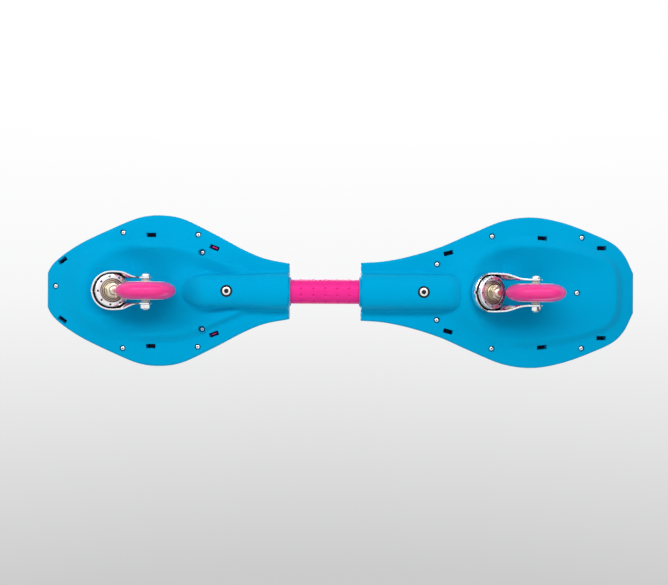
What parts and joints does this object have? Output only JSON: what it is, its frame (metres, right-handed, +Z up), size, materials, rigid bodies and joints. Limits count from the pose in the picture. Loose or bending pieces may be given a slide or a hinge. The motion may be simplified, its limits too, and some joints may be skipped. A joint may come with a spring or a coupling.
{
  "type": "caster board",
  "caption": "Narrow-waisted caster board: teardrop front and rear decks joined by a sprung torsion tube, each carried on an inclined swivel caster with a soft wheel.",
  "frame": {"origin": "on the ground under the middle of the board", "axes": "+X towards the nose, +Y to the rider's left when facing the nose, +Z up"},
  "size_m": [0.686, 0.1754, 0.0946],
  "materials": {
    "deck_plastic": "fine satin grain",
    "platform_plastic": "satin, grippy tread",
    "sleeve_plastic": "semi-gloss, dimpled",
    "wheel_urethane": "glossy cast urethane",
    "hub_plastic": "smooth moulded",
    "bush_nylon": "smooth moulded",
    "chrome": "bright chrome plate",
    "zinc": "bright zinc plate",
    "steel": "ground steel"
  },
  "bodies": {
    "front_deck": {"front_deck_shell": "deck_plastic", "front_platform": "platform_plastic", "front_screw_nose": "zinc", "front_screw_side_left": "zinc", "front_screw_side_right": "zinc", "front_screw_waist_left": "zinc", "front_screw_waist_right": "zinc", "front_screw_crest_left": "zinc", "front_screw_crest_right": "zinc", "front_tube_bolt": "zinc", "front_swivel_seat": "steel", "front_kingpin_bolt": "zinc", "front_kingpin_washer": "zinc", "front_kingpin_nut": "zinc", "tube_sleeve": "sleeve_plastic", "torsion_tube": "steel", "front_bar_plug": "zinc", "torsion_bar": "steel"},
    "front_caster": {"front_fork": "chrome", "front_bearing_housing": "chrome", "front_swivel_bearing": "steel", "front_axle_bolt": "zinc", "front_axle_nut": "zinc", "front_axle_bush_left": "zinc", "front_axle_bush_right": "zinc", "front_bearing_spacer": "steel"},
    "front_wheel": {"front_tyre": "wheel_urethane", "front_hub": "hub_plastic", "front_wheel_bearing_left": "steel", "front_wheel_bearing_right": "steel"},
    "rear_deck": {"rear_deck_shell": "deck_plastic", "rear_platform": "platform_plastic", "rear_screw_dish": "zinc", "rear_screw_tail_left": "zinc", "rear_screw_tail_right": "zinc", "rear_screw_side_left": "zinc", "rear_screw_side_right": "zinc", "rear_screw_waist_left": "zinc", "rear_screw_waist_right": "zinc", "rear_tube_bolt": "zinc", "rear_swivel_seat": "steel", "rear_kingpin_bolt": "zinc", "rear_kingpin_washer": "zinc", "rear_kingpin_nut": "zinc", "rear_tube_bush": "bush_nylon", "rear_bar_plug": "zinc"},
    "rear_caster": {"rear_fork": "chrome", "rear_bearing_housing": "chrome", "rear_swivel_bearing": "steel", "rear_axle_bolt": "zinc", "rear_axle_nut": "zinc", "rear_axle_bush_left": "zinc", "rear_axle_bush_right": "zinc", "rear_bearing_spacer": "steel"},
    "rear_wheel": {"rear_tyre": "wheel_urethane", "rear_hub": "hub_plastic", "rear_wheel_bearing_left": "steel", "rear_wheel_bearing_right": "steel"}
  },
  "joints": [
    {"name": "deck_twist", "type": "hinge", "parent": "front_deck", "child": "rear_deck", "pos_m": [0, 0, 0.06598], "axis": [1, 0, 0], "range_deg": [-25, 25], "stiffness_Nm_per_rad": 12, "deforming": ["torsion_bar"]},
    {"name": "front_swivel", "type": "hinge", "parent": "front_deck", "child": "front_caster", "pos_m": [0.26764, 0, 0.06438], "axis": [0.5, 0, 0.866], "continuous": true},
    {"name": "front_wheel_spin", "type": "hinge", "parent": "front_caster", "child": "front_wheel", "pos_m": [0.218, 0, 0.033], "axis": [0, 1, 0], "continuous": true},
    {"name": "rear_swivel", "type": "hinge", "parent": "rear_deck", "child": "rear_caster", "pos_m": [-0.16836, 0, 0.06438], "axis": [0.5, 0, 0.866], "continuous": true},
    {"name": "rear_wheel_spin", "type": "hinge", "parent": "rear_caster", "child": "rear_wheel", "pos_m": [-0.218, 0, 0.033], "axis": [0, 1, 0], "continuous": true}
  ]
}
